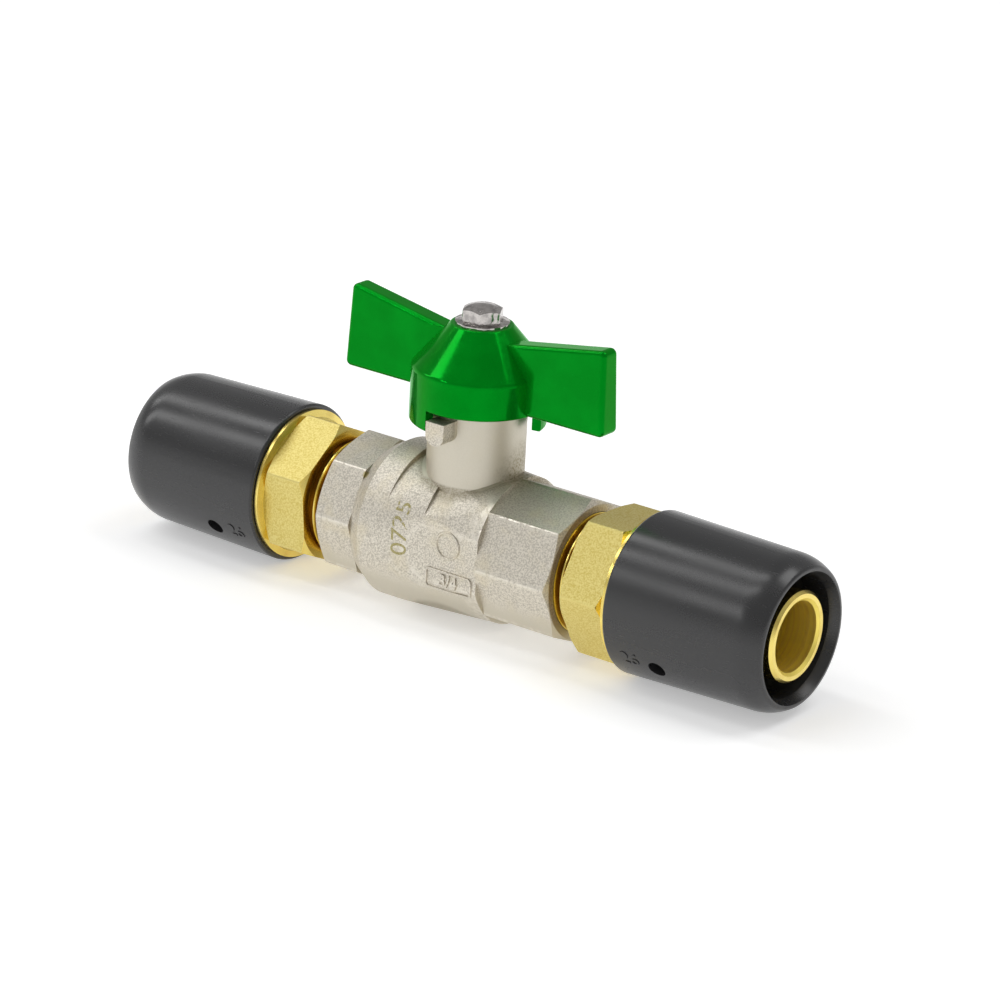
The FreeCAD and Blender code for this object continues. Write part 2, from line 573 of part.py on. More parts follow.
def makeConnector():
    body = newBody("end_connector", "left")
    turned(body, "Connector", [
        ("noseEnd", "seatRim"), ("noseEnd", "noseRadius"), ("noseRingLow", "noseRadius"),
        ("noseRingLow", "noseRingFloor"), ("noseRingHigh", "noseRingFloor"), ("noseRingHigh", "noseRadius"),
        ("noseStep", "noseRadius"), ("noseStep", "noseThread"), ("shoulderAt", "noseThread"),
        ("shoulderAt", "flatsRadius"), ("connectorFlatsEnd", "flatsRadius"), ("connectorEnd", "faceRadius"),
        ("connectorEnd", "tapRadius"), ("connectorTapEnd", "tapRadius"), ("connectorTapEnd", "bodyWay"),
        ("seatPocket", "bodyWay"), ("seatPocket", "seatRim")])
    flatten(body, "ConnectorFlats", "YZ_Plane", 8, "flatsCorner", "shoulderAt", "outside",
            "connectorAngle", "left")


def makeSealingRing(name, axis, across, up, wire, side="right"):
    # A rubber ring of round section.
    body = newBody(name, side)
    sketch = sketchOn(body, "XZ_Plane", name + "_section")
    circle(sketch, across, up, wire)
    revolve(body, sketch, axis)


def makeSeat(side):
    body = newBody("seat_ring_" + side, side)
    turned(body, "Seat_" + side, [
        ("seatLip", "bodyWay", "+seatCurve"), ("seatFront", "seatContact"), ("seatFront", "seatOuter"),
        ("seatBack", "seatOuter"), ("seatBack", "bodyWay")])


def makeBall():
    body = newBody("ball")
    turned(body, "Ball", [("-ballSide", "wayRadius", "-ballRadius"), ("ballSide", "wayRadius")])
    slot = sketchOn(body, "XZ_Plane", "BallSlot")
    outline(slot, [
        ("-slotHalf", "slotFloor"), ("slotHalf", "slotFloor"), ("slotHalf", "outside"),
        ("-slotHalf", "outside")])
    cut(body, slot, "ballWidth", both=True)


def makeStem():
    body = newBody("stem")
    turned(body, "Stem", [
        ("0", "shoulderLow"), ("stemShoulder", "shoulderLow"), ("stemShoulder", "shoulderHigh"),
        ("stemRadius", "shoulderHigh"), ("stemRadius", "lowGrooveFoot"), ("stemRingFloor", "lowGrooveFoot"),
        ("stemRingFloor", "lowGrooveHead"), ("stemRadius", "lowGrooveHead"),
        ("stemRadius", "highGrooveFoot"), ("stemRingFloor", "highGrooveFoot"),
        ("stemRingFloor", "highGrooveHead"), ("stemRadius", "highGrooveHead"), ("stemRadius", "stemTop"),
        ("screwHole", "stemTop"), ("screwHole", "screwHoleFloor"), ("0", "screwHoleTip")], "V_Axis")
    tang = sketchOn(body, "XY_Plane", "Tang", "tangFoot")
    outline(tang, [
        ("-tangHalf", "-tangReach"), ("tangHalf", "-tangReach"), ("tangHalf", "tangReach"),
        ("-tangHalf", "tangReach")])
    extrude(body, tang, "tangHeight", "PartDesign::Pad")
    flats = sketchOn(body, "XY_Plane", "StemFlats", "stemFlatsLow")
    for sign in ("", "-"):
        near, far = sign + "stemHalfFlats", sign + "outside"
        outline(flats, [("-outside", near), ("outside", near), ("outside", far), ("-outside", far)])
    cut(body, flats, "stemFlatsHeight")


def makeWasher():
    body = newBody("stem_washer")
    turned(body, "Washer", [
        ("stemBore", "shoulderHigh"), ("stemShoulder", "shoulderHigh"), ("stemShoulder", "washerTop"),
        ("stemBore", "washerTop")], "V_Axis")


def makeHandle():
    body = newBody("handle")
    wings = sketchOn(body, "XZ_Plane", "Wings")
    outline(wings, [
        ("wingInner", "wingStep"), ("wingInner", "wingLow"), ("wingTipLow", "wingLow"),
        ("wingTipHigh", "wingHigh"), ("wingRootAt", "wingRoot"), ("-wingRootAt", "wingRoot"),
        ("-wingTipHigh", "wingHigh"), ("-wingTipLow", "wingLow"), ("-wingInner", "wingLow"),
        ("-wingInner", "wingStep")])
    extrude(body, wings, "wingWidth", "PartDesign::Pad", both=True)
    # A casting thins toward the top, as it is drawn from its die.
    sides = sketchOn(body, "YZ_Plane", "WingSides")
    for sign in ("", "-"):
        low, high, far = sign + "wingHalfLow", sign + "wingHalfHigh", sign + "outside"
        outline(sides, [(low, "wingLow"), (far, "wingLow"), (far, "wingHigh"), (high, "wingHigh")])
    cut(body, sides, "wingSpan", both=True)
    roundEdges(body, "TipCorners", "wingCorner", tipCorner)
    roundEdges(body, "WingEdges", "wingRound", wingEdge)

    turned(body, "Hub", [
        ("0", "stemFlatsLow"), ("hubBore", "stemFlatsLow"), ("hubBore", "ceiling"),
        ("skirtInner", "ceiling"), ("skirtInner", "skirtDeep"), ("skirtRadius", "skirtDeep"),
        ("skirtRadius", "bendLow", "+coneBend"), ("bendHighRadius", "bendHigh"),
        ("hubTopRadius", "hubTop"), ("0", "hubTop")], "V_Axis")

    # The skirt is shallow over a quarter turn and the lug's width, so that its ends meet the lug.
    opening = sketchOn(body, "XY_Plane", "StopOpening", "skirtDeep")
    outline(opening, [("0", "0"), ("-stopSide", "-stopReach", "+outside"), ("stopReach", "stopSide")])
    cut(body, opening, "openingHeight")

    hole = sketchOn(body, "XY_Plane", "StemHole", "stemFlatsLow")
    outline(hole, [
        ("hubBoreSide", "-hubHalfFlats", "+hubBore"), ("hubBoreSide", "hubHalfFlats"),
        ("-hubBoreSide", "hubHalfFlats", "+hubBore"), ("-hubBoreSide", "-hubHalfFlats")])
    cut(body, hole, "hubFlatsHeight")
    roundEdges(body, "RimEdges", "rimRound", rimEdge)


def tipCorner(edge):
    # A short edge across the wing's thickness, out at its tip.
    ends = [vertex.Point for vertex in edge.Vertexes]
    crosses = ends[0].y * ends[-1].y < 0
    return crosses and min(abs(end.x) for end in ends) > size("skirtRadius")


def wingEdge(edge):
    # Any edge of a wing's side face, but for those buried in the hub.
    ends = [vertex.Point for vertex in edge.Vertexes]
    crosses = ends[0].y * ends[-1].y < 0
    return not crosses and max(abs(end.x) for end in ends) > size("skirtRadius")


def rimEdge(edge):
    # The round edges of the skirt's two rims and of the flat top.
    if edge.Curve.TypeId != "Part::GeomCircle":
        return False
    height = edge.Curve.Center.z
    atRim = min(abs(height - size("skirtDeep")), abs(height - size("skirtLow"))) < TINY
    atTop = abs(height - size("hubTop")) < TINY and abs(edge.Curve.Radius - size("hubTopRadius")) < TINY
    return atTop or (atRim and abs(edge.Curve.Radius - size("skirtRadius")) < TINY)


def makeScrew():
    body = newBody("handle_screw")
    turned(body, "Screw", [
        ("0", "screwFoot"), ("screwTipRadius", "screwFoot"), ("screwShank", "screwTaper"),
        ("screwShank", "hubTop"), ("screwFlange", "hubTop"), ("screwFlange", "screwRimTop"),
        ("screwRadius", "screwConeTop"), ("screwRadius", "screwShoulder", "+screwDomeRadius"),
        ("0", "screwTop")], "V_Axis")
    flatten(body, "ScrewFlats", "XY_Plane", 6, "screwCorner", "screwConeTop", "outside", "screwAngle")


def makeAdapter(side):
    body = newBody("adapter_" + side, side)
    turned(body, "Adapter_" + side, [
        ("adapterInner", "stubBore"), ("adapterInner", "threadLeadRadius"), ("threadLead", "threadRadius"),
        ("crestBefore", "threadRadius"), ("valleyStart", "undercutRadius"), ("valleyEnd", "undercutRadius"),
        ("lastCrest", "threadRadius"), ("threadEnd", "threadRadius"), ("threadRunOut", "undercutRadius"),
        ("adapterFace", "undercutRadius"), ("adapterFace", "hexFaceRadius"), ("hexFull", "hexRadius"),
        ("hexClose", "hexRadius"),
        ("hexEnd", "hexFaceRadius"), ("collarStart", "collarRadius"), ("collarEnd", "collarRadius"),
        ("collarEnd", "spigotRadius"), ("snapStart", "spigotRadius"), ("snapStart", "snapRadius"),
        ("snapEnd", "snapRadius"), ("snapEnd", "spigotRadius"), ("spigotEnd", "spigotRadius"),
        ("spigotEnd", "stubRadius"), ("innerGrooveStart", "stubRadius"),
        ("innerGrooveStart", "stubRingFloor"), ("innerGrooveEnd", "stubRingFloor"),
        ("innerGrooveEnd", "stubRadius"), ("outerGrooveStart", "stubRadius"),
        ("outerGrooveStart", "stubRingFloor"), ("outerGrooveEnd", "stubRingFloor"),
        ("outerGrooveEnd", "stubRadius"), ("stubTipStart", "stubRadius"), ("stubEnd", "stubTipRadius"),
        ("stubEnd", "stubMouth"), ("stubTipStart", "stubBore")])
    flatten(body, "AdapterFlats_" + side, "YZ_Plane", 6, "adapterCorner", "adapterFace", "hexLength",
            "adapterAngle" + side.title(), side)


def makeBaseRing(side):
    body = newBody("base_ring_" + side, side)
    turned(body, "Base_" + side, [
        ("baseStart", "baseInner"), ("baseStart", "ringOuter"), ("baseEnd", "ringOuter"),
        ("baseEnd", "baseInner")])


def cutWindow(body, side):
    # The round inspection hole through one wall.
    sketch = sketchOn(body, "XY_Plane", body.Label + "_window")
    turnSketch(sketch, FreeCAD.Vector(SIDES[side], 0, 0), "windowAngle")
    circle(sketch, "windowAt", "0", "windowSize")
    cut(body, sketch, "outside")


def makeSpacer(side):
    body = newBody("spacer_ring_" + side, side)
    turned(body, "Spacer_" + side, [
        ("spacerStart", "sleeveWay"), ("spacerStart", "ringOuter"), ("spacerEnd", "ringOuter"),
        ("spacerEnd", "sleeveWay")])
    cutWindow(body, side)


def makeGripRing(side):
    body = newBody("grip_ring_" + side, side)
    points = [("gripStart", "gripRoot"), ("gripStart", "ringOuter"), ("gripEnd", "gripFront")]
    points.append(("gripEnd", "gripRoot"))
    for tooth in ("toothThird", "toothSecond", "toothFirst"):
        points += [(tooth, "gripInner"), (tooth, "gripRoot")]
    turned(body, "Grip_" + side, points)
    split = sketchOn(body, "XY_Plane", "Split_" + side)
    outline(split, [
        ("spacerEnd", "-gripHalfSplit"), ("coneEnd", "-gripHalfSplit"), ("coneEnd", "gripHalfSplit"),
        ("spacerEnd", "gripHalfSplit")])
    cut(body, split, "outside")


def makeSleeve(side):
    body = newBody("sleeve_" + side, side)
    turned(body, "Sleeve_" + side, [
        ("sleeveStart", "sleeveSocket"), ("sleeveStart", "sleeveEdgeRadius", "-sleeveEdge"),
        ("sleeveHead", "sleeveRadius"), ("mouthStart", "sleeveMouth", "-mouthArc"),
        ("lipStart", "lipOuter", "-lipRound"), ("sleeveEnd", "lipRadius"), ("sleeveEnd", "lipInner"),
        ("mouthInner", "sleeveWay"), ("coneEnd", "sleeveWay"), ("coneEnd", "coneFront"),
        ("coneStart", "sleeveSocket"), ("beadEnd", "sleeveSocket"), ("beadEnd", "beadRadius"),
        ("beadStart", "beadRadius"), ("beadStart", "sleeveSocket")])
    cutWindow(body, side)


makeBody()
makeConnector()
makeSealingRing("connector_o_ring", "H_Axis", "noseRingAt", "noseRingRadius", "ringWire", "left")
makeBall()
makeStem()
makeWasher()
makeSealingRing("stem_o_ring_lower", "V_Axis", "stemRingRadius", "stemRingLow", "ringWire")
makeSealingRing("stem_o_ring_upper", "V_Axis", "stemRingRadius", "stemRingHigh", "ringWire")
makeHandle()
makeScrew()
for side in SIDES:
    makeSeat(side)
    makeAdapter(side)
    makeSealingRing("stub_o_ring_%s_inner" % side, "H_Axis", "stubRingAt", "stubRingRadius",
                    "stubRingWire", side)
    makeSealingRing("stub_o_ring_%s_outer" % side, "H_Axis", "stubRingOuter", "stubRingRadius",
                    "stubRingWire", side)
    makeBaseRing(side)
    makeSpacer(side)
    makeGripRing(side)
    makeSleeve(side)

doc.recompute()
for item in doc.Objects:
    if "Invalid" in item.State or "Error" in item.State:
        raise RuntimeError("%s failed: %s" % (item.Name, item.State))

pieces = [item for item in doc.Objects if item.TypeId == "PartDesign::Body"]
for piece in pieces:
    if piece.Shape.isNull() or not piece.Shape.isValid() or len(piece.Shape.Solids) != 1:
        raise RuntimeError("%s is not one sound solid" % piece.Label)

os.makedirs("parts", exist_ok=True)
for piece in pieces:
    piece.Shape.exportStep(os.path.join("parts", piece.Label + ".step"))
    print("%-24s %9.1f mm3" % (piece.Label, piece.Shape.Volume))
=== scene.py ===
import json
import math

import bmesh
import bpy
from mathutils import Matrix, Vector
from mathutils.bvhtree import BVHTree


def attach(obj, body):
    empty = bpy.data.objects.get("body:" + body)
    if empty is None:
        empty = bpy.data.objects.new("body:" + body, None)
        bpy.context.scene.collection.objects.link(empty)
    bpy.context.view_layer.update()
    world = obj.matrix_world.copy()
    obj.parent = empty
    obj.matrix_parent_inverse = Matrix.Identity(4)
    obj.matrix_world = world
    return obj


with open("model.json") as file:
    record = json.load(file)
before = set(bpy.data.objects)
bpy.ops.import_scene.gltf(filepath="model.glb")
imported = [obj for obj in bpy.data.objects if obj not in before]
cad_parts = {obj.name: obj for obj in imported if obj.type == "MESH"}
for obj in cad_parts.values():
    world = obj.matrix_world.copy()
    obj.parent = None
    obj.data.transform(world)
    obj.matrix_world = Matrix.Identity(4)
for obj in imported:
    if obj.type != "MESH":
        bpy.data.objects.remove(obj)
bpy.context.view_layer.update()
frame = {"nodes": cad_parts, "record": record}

nodes = frame["nodes"]
mm = 0.001
outside = 40 * mm  # a ray starts this far out to meet a surface from outside
print("frame loaded:", len(nodes), "nodes")


class Wire:  # a socket that can stand in a sum, as in 1 - mask
    def __init__(self, finish, socket):
        self.finish = finish
        self.socket = socket

    def math(self, operation, left, right=0.0):
        return self.finish.node("ShaderNodeMath", {"operation": operation}, {0: left, 1: right})

    def __add__(self, other):
        return self.math("ADD", self, other)

    def __radd__(self, other):
        return self.math("ADD", other, self)

    def __sub__(self, other):
        return self.math("SUBTRACT", self, other)

    def __rsub__(self, other):
        return self.math("SUBTRACT", other, self)

    def __mul__(self, other):
        return self.math("MULTIPLY", self, other)

    def __rmul__(self, other):
        return self.math("MULTIPLY", other, self)

    def __pow__(self, other):
        return self.math("POWER", self, other)

    def __abs__(self):
        return self.math("ABSOLUTE", self)


class Finish:  # one material, or the world; its patterns are measured in millimetres
    def __init__(self, name, tree=None):
        if tree is None:
            self.material = bpy.data.materials.new(name)
            self.material.use_nodes = True
            tree = self.material.node_tree
        self.tree = tree
        self.tree.nodes.clear()

    def node(self, kind, settings=None, inputs=None, output=0):
        made = self.tree.nodes.new(kind)
        for name, value in (settings or {}).items():
            setattr(made, name, value)
        for name, value in (inputs or {}).items():
            if isinstance(value, Wire):
                self.tree.links.new(value.socket, made.inputs[name])
            else:
                made.inputs[name].default_value = value
        return Wire(self, made.outputs[output]) if len(made.outputs) else None

    def measured(self):  # the point on the piece, and its three measures
        corner = self.node("ShaderNodeTexCoord", output="Object")
        self.place = self.node("ShaderNodeMapping", inputs={"Vector": corner, "Scale": (1 / mm,) * 3})
        return [self.node("ShaderNodeSeparateXYZ", inputs={0: self.place}, output=name) for name in "XYZ"]

    def noise(self, grain, detail=2.0, stretch=None):
        place = self.place
        if stretch:
            place = self.node("ShaderNodeMapping", inputs={"Vector": place, "Scale": stretch})
        return self.node("ShaderNodeTexNoise", inputs={
            "Vector": place, "Scale": 1 / grain, "Detail": detail}, output="Fac")

    def lines(self, across, grain):  # noise along one measure only, as a tool leaves it
        return self.node("ShaderNodeTexNoise", {"noise_dimensions": "1D"}, {
            "W": across, "Scale": 1 / grain, "Detail": 3.0}, output="Fac")

    def step(self, value, levels):  # 0 up to the first level, 1 from the second on, smooth between
        return self.node("ShaderNodeMapRange", {"interpolation_type": "SMOOTHSTEP"}, {
            "Value": value, "From Min": levels[0], "From Max": levels[1]})

    def patches(self, facts):  # noise cut between two of its levels
        cloud = self.noise(facts["grain"], facts["detail"], facts.get("stretch"))
        return self.step(cloud, facts["levels"])

    def near(self, spot):  # distance from a point in millimetres
        return self.node("ShaderNodeVectorMath", {"operation": "DISTANCE"}, {0: self.place, 1: spot}, "Value")

    def mix(self, factor, low, high):
        low, high = ((*colour, 1.0) if isinstance(colour, tuple) else colour for colour in (low, high))
        return self.node("ShaderNodeMix", {"data_type": "RGBA"}, {0: factor, 6: low, 7: high}, 2)

    def bump(self, height):  # height in millimetres
        return self.node("ShaderNodeBump", inputs={"Height": height, "Distance": mm, "Strength": 1.0})

    def surface(self, inputs):
        shader = self.node("ShaderNodeBsdfPrincipled", inputs=inputs)
        self.node("ShaderNodeOutputMaterial", inputs={"Surface": shader})
        return self.material


# In the looks below, grains, depths and places are in millimetres. A pair of numbers is where a mask
# starts and where it is full. A share says how far a mask goes from one colour to the other.

nickelLook = {
    # the smooth colour on the next line is a darker nickel, painted shade for the unblasted faces
    "bright": (0.74, 0.695, 0.605), "pit": (0.53, 0.49, 0.42), "smooth": (0.60, 0.56, 0.465),
    # the last colour on the next line is painted shade, for the right side of the neck and the crease round its
    # foot
    "warm": (0.70, 0.63, 0.47), "bare": (0.50, 0.43, 0.20), "paintedShade": (0.26, 0.22, 0.135),
    "grain": 0.34, "grainDetail": 3.0, "grainDepth": 0.055, "grit": (0.36, 0.62),
    "swell": 3.0, "swellDepth": 0.04,
    "rough": 0.46, "pitRough": 0.14, "wornRough": 0.30,
    "blastedUp": (-9.0, -4.0), "blastedWander": 2, "wanderGrain": 4.0, "leastBlasted": 0.12,
    "neckUp": (13.8, 14.4), "neckOut": (11.2, 11.5), "neckSmooth": 0.9,
    "stain": {"grain": 6.5, "detail": 3.0, "levels": (0.48, 0.72)}, "stainShare": 0.5,
    "cornerIn": (15.85, 16.08), "cornerOut": (16.18, 16.4),
    "wear": {"grain": 1.1, "detail": 2.0, "levels": (0.35, 0.6)}, "wearShare": 0.7,
    "bareSpot": (-20.6, -10.9, 11.3), "bareOut": (0.72, 0.9), "bareShare": 0.8,
    # the next lines darken the neck's right side with mottled painted shade, and the crease round its foot
    "shadeSpot": (9.6, 3.4, 15.5), "shadeOut": (5.5, 11.5), "shadeWander": 3, "shadeGrain": 2.0,
    "speckle": {"grain": 0.5, "detail": 3.0, "levels": (0.4, 0.65)}, "speckleShare": 0.75,
    "leastShade": 0.45, "shadeShare": 0.75,
    "creaseOut": (10.7, 13.0), "creaseShare": 0.5, "creaseMottle": 0.4,
}


def castNickel():
    look = nickelLook
    finish = Finish("castNickel")
    x, y, z = finish.measured()
    radius = (y * y + z * z) ** 0.5
    fromStem = (x * x + y * y) ** 0.5
    neck = finish.step(z, look["neckUp"]) * (1 - finish.step(fromStem, look["neckOut"]))

    # shot-blasted down to a wandering line below the middle, and hardly at all on the neck
    blasted = finish.step(z + look["blastedWander"] * finish.noise(look["wanderGrain"]), look["blastedUp"])
    blasted = blasted * (1 - look["neckSmooth"] * neck)
    blasted = look["leastBlasted"] + (1 - look["leastBlasted"]) * blasted
    grain = finish.noise(look["grain"], look["grainDetail"])
    grit = finish.step(grain, look["grit"])
    colour = finish.mix(grit + (1 - grit) * (1 - blasted), look["pit"], look["bright"])
    stain = finish.patches(look["stain"])
    colour = finish.mix(stain * look["stainShare"], colour, look["warm"])
    # where the nickel is not blasted, on the neck and low on the body, it is smooth and painted darker: painted
    # shade standing in for darker surroundings reflected there
    colour = finish.mix(1 - blasted, colour, look["smooth"])

    # rubbed bright on the edges of the eight-sided ends, and through to the brass at one spot
    corner = finish.step(radius, look["cornerIn"]) * (1 - finish.step(radius, look["cornerOut"]))
    worn = corner * finish.patches(look["wear"])
    colour = finish.mix(worn * look["wearShare"], colour, look["bright"])
    bare = 1 - finish.step(finish.near(look["bareSpot"]), look["bareOut"])
    colour = finish.mix(bare * look["bareShare"], colour, look["bare"])

    # painted shade: a dark brownish patch on the right side of the neck, and a darker ring in the crease round
    # its foot
    fromSpot = finish.near(look["shadeSpot"]) + look["shadeWander"] * finish.noise(look["shadeGrain"])
    dim = 1 - finish.step(fromSpot, look["shadeOut"])
    dim = dim * (look["leastShade"] + look["speckleShare"] * finish.patches(look["speckle"]))
    colour = finish.mix(look["shadeShare"] * dim, colour, look["paintedShade"])
    # painted shade in the crease round the neck's foot, mottled by the warm patches
    crease = (1 - finish.step(fromStem, look["creaseOut"])) * (1 - neck)
    crease = crease * (look["creaseShare"] + look["creaseMottle"] * stain)
    colour = finish.mix(crease, colour, look["paintedShade"])

    rough = look["rough"] + look["pitRough"] * blasted * (1 - grit)
    rough = rough - (look["rough"] - look["wornRough"]) * worn
    height = look["grainDepth"] * (1 - look["wearShare"] * worn) * blasted * grain
    height = height + look["swellDepth"] * finish.noise(look["swell"])
    return finish.surface({
        "Base Color": colour, "Metallic": 1.0, "Roughness": rough, "Normal": finish.bump(height)})


brassLook = {
    "forged": (0.76, 0.65, 0.25), "forgedPit": (0.66, 0.53, 0.15), "turned": (0.88, 0.70, 0.20),
    # on the next line, the bore colour is brass brightened as painted light, and the root colour is painted
    # shade for the thread roots
    "dull": (0.62, 0.44, 0.10), "bore": (1.0, 0.82, 0.18), "rootShade": (0.34, 0.20, 0.03),
    "faceAt": 34.5, "flatsEnd": 45.2, "coneSlope": math.sqrt(3), "coneOut": (15.1, 15.15),
    "flatsOut": (14.3, 14.4), "flatsAlong": (34.54, 34.58),
    "edgeOut": (16.45, 16.62), "edgeShare": 0.6,
    "grain": 0.34, "grainDetail": 3.0, "grainDepth": 0.022, "grit": (0.36, 0.62),
    "toolMark": 0.16, "toolDepth": 0.004,
    "dulled": {"grain": 5.0, "detail": 2.0, "levels": (0.45, 0.75)}, "dullShare": 0.5,
    "boreOut": (8.3, 8.4), "ringGrain": 0.9, "rings": (0.42, 0.58), "ringShare": 0.6, "ringDepth": 0.010,
    "rootIn": (11.55, 11.85), "rootOut": (12.75, 13.0), "threadAlong": (29.0, 29.1), "threadEnd": (34.5, 34.6),
    "forgedRough": 0.42, "pitRough": 0.12, "turnedRough": 0.17, "toolRough": 0.12, "boreRough": 0.25,
}


def forgedBrass():
    look = brassLook
    finish = Finish("forgedBrass")
    x, y, z = finish.measured()
    radius = (y * y + z * z) ** 0.5
    along = abs(x)

    # forged on the six flats, turned everywhere else
    frontCone = finish.step(radius - look["coneSlope"] * (along - look["faceAt"]), look["coneOut"])
    backCone = finish.step(radius - look["coneSlope"] * (look["flatsEnd"] - along), look["coneOut"])
    flats = finish.step(radius, look["flatsOut"]) * finish.step(along, look["flatsAlong"])
    forged = flats * (1 - frontCone) * (1 - backCone)
    grain = finish.noise(look["grain"], look["grainDetail"])
    grit = finish.step(grain, look["grit"])
    tool = finish.lines(x + radius, look["toolMark"])
    gritty = finish.mix(grit, look["forgedPit"], look["forged"])
    turned = finish.mix(finish.patches(look["dulled"]) * look["dullShare"], look["turned"], look["dull"])
    colour = finish.mix(forged, turned, gritty)

    # turned rings in the bore, painted shade in the thread roots, and bright edges between the flats
    bore = 1 - finish.step(radius, look["boreOut"])
    ringed = finish.step(finish.lines(x, look["ringGrain"]), look["rings"])
    # the bore's brass is brighter than the turned brass: painted light for light that hardly reaches into the
    # deep bore; the turned rings are real
    colour = finish.mix(bore * (1 - look["ringShare"] * ringed), colour, look["bore"])
    rootShade = finish.step(radius, look["rootIn"]) * (1 - finish.step(radius, look["rootOut"]))
    rootShade = rootShade * finish.step(along, look["threadAlong"]) * (1 - finish.step(along, look["threadEnd"]))
    colour = finish.mix(rootShade, colour, look["rootShade"])
    edge = finish.step(radius, look["edgeOut"]) * forged
    colour = finish.mix(edge * look["edgeShare"], colour, look["forged"])

    rough = forged * (look["forgedRough"] + look["pitRough"] * (1 - grit))
    rough = rough + (1 - forged) * (look["turnedRough"] + look["toolRough"] * tool) + look["boreRough"] * bore
    height = forged * look["grainDepth"] * grain + (1 - forged) * look["toolDepth"] * tool
    height = height + bore * look["ringDepth"] * ringed
    return finish.surface({
        "Base Color": colour, "Metallic": 1.0, "Roughness": rough, "Normal": finish.bump(height)})


paintLook = {
    "green": (0.0004, 0.305, 0.014), "deep": (0.0003, 0.26, 0.011), "thin": (0.004, 0.34, 0.03),
    "sheen": (0.0, 0.80, 0.10, 1.0), "ior": 1.3, "metallic": 0.42,
    "cloud": {"grain": 9.0, "detail": 3.0, "levels": (0.35, 0.7)},
    "dust": {"grain": 0.35, "detail": 1.0, "levels": (0.70, 0.76)}, "dustShare": 0.5, "dustDepth": 0.004,
    "haze": {"grain": 4.0, "detail": 3.0, "levels": (0.4, 0.7)}, "rough": 0.08, "hazeRough": 0.06,
    "peel": 1.3, "peelDepth": 0.006,
}


def greenPaint():
    look = paintLook
    finish = Finish("greenPaint")
    finish.measured()
    colour = finish.mix(finish.patches(look["cloud"]), look["deep"], look["green"])
    dust = finish.patches(look["dust"])
    colour = finish.mix(dust * look["dustShare"], colour, look["thin"])
    rough = look["rough"] + look["hazeRough"] * finish.patches(look["haze"])
    height = look["peelDepth"] * finish.noise(look["peel"]) + look["dustDepth"] * dust
    return finish.surface({
        "Base Color": colour, "Roughness": rough, "Normal": finish.bump(height),
        "Specular Tint": look["sheen"], "IOR": look["ior"], "Metallic": look["metallic"]})


mouldLook = {
    "sleeve": (0.024, 0.024, 0.025), "ring": (0.018, 0.018, 0.019), "sheen": (0.036, 0.036, 0.037),
    "sleeveRough": 0.19, "ringRough": 0.45, "ior": 1.58,
    "flow": {"grain": 14.0, "detail": 2.0, "stretch": (0.35, 1.0, 1.0), "levels": (0.35, 0.7)},
    "flowShare": 0.4, "flowRough": 0.08, "flowDepth": 0.02,
    "scuff": {"grain": 0.5, "detail": 3.0, "stretch": (0.25, 1.0, 1.0), "levels": (0.62, 0.72)},
    "scuffShare": 0.25, "scuffRough": 0.10,
    "grain": 0.22, "grainRough": 0.06, "grainDepth": 0.004,
}


def blackMoulding(name, colour, rough):
    look = mouldLook
    finish = Finish(name)
    finish.measured()
    flow = finish.patches(look["flow"])
    scuff = finish.patches(look["scuff"])
    grain = finish.noise(look["grain"])
    shade = finish.mix(flow * look["flowShare"] + scuff * look["scuffShare"], colour, look["sheen"])
    rough = rough + look["flowRough"] * flow + look["scuffRough"] * scuff + look["grainRough"] * grain
    height = look["grainDepth"] * grain + look["flowDepth"] * flow
    return finish.surface({
        "Base Color": shade, "Roughness": rough, "Normal": finish.bump(height), "IOR": look["ior"]})


steelLook = {
    "bright": (0.56, 0.53, 0.51), "grey": (0.34, 0.32, 0.31),
    "shade": {"grain": 1.6, "detail": 3.0, "levels": (0.4, 0.7)},
    "toolMark": 0.10, "toolDepth": 0.003, "swell": 2.2, "swellDetail": 1.0, "swellDepth": 0.35,
    "scratch": {"grain": 0.25, "detail": 3.0, "stretch": (1.0, 0.2, 1.0), "levels": (0.6, 0.7)},
    "rough": 0.09, "toolRough": 0.08, "scratchRough": 0.15,
}


def polishedSteel():
    look = steelLook
    finish = Finish("polishedSteel")
    x, y, z = finish.measured()
    tool = finish.lines((x * x + y * y) ** 0.5 + z, look["toolMark"])
    colour = finish.mix(finish.patches(look["shade"]), look["bright"], look["grey"])
    rough = look["rough"] + look["toolRough"] * tool + look["scratchRough"] * finish.patches(look["scratch"])
    height = look["toolDepth"] * tool + look["swellDepth"] * finish.noise(look["swell"], look["swellDetail"])
    return finish.surface({
        "Base Color": colour, "Metallic": 1.0, "Roughness": rough, "Normal": finish.bump(height)})


chromeLook = {
    "bright": (0.80, 0.80, 0.81), "hazy": (0.66, 0.66, 0.68),
    "haze": {"grain": 3.5, "detail": 4.0, "levels": (0.4, 0.7)},
    "scratch": {"grain": 0.3, "detail": 3.0, "stretch": (0.2, 1.0, 1.0), "levels": (0.62, 0.7)},
    "rough": 0.07, "hazeRough": 0.06, "scratchRough": 0.1, "scratchDepth": 0.001,
}


def hardChrome():
    look = chromeLook
    finish = Finish("hardChrome")
    finish.measured()
    haze = finish.patches(look["haze"])
    scratch = finish.patches(look["scratch"])
    rough = look["rough"] + look["hazeRough"] * haze + look["scratchRough"] * scratch
    return finish.surface({
        "Base Color": finish.mix(haze, look["bright"], look["hazy"]), "Metallic": 1.0, "Roughness": rough,
        "Normal": finish.bump(look["scratchDepth"] * scratch)})


softLook = {
    "rubber": (0.018, 0.018, 0.018), "rubberBloom": (0.06, 0.06, 0.058), "rubberRough": 0.5,
    "white": (0.82, 0.81, 0.78), "whiteShade": (0.72, 0.71, 0.67), "whiteRough": 0.4,
    "bloom": {"grain": 2.2, "detail": 4.0, "levels": (0.45, 0.75)}, "bloomShare": 0.5, "bloomRough": 0.1,
    "grain": 0.2, "grainDepth": 0.004,
}


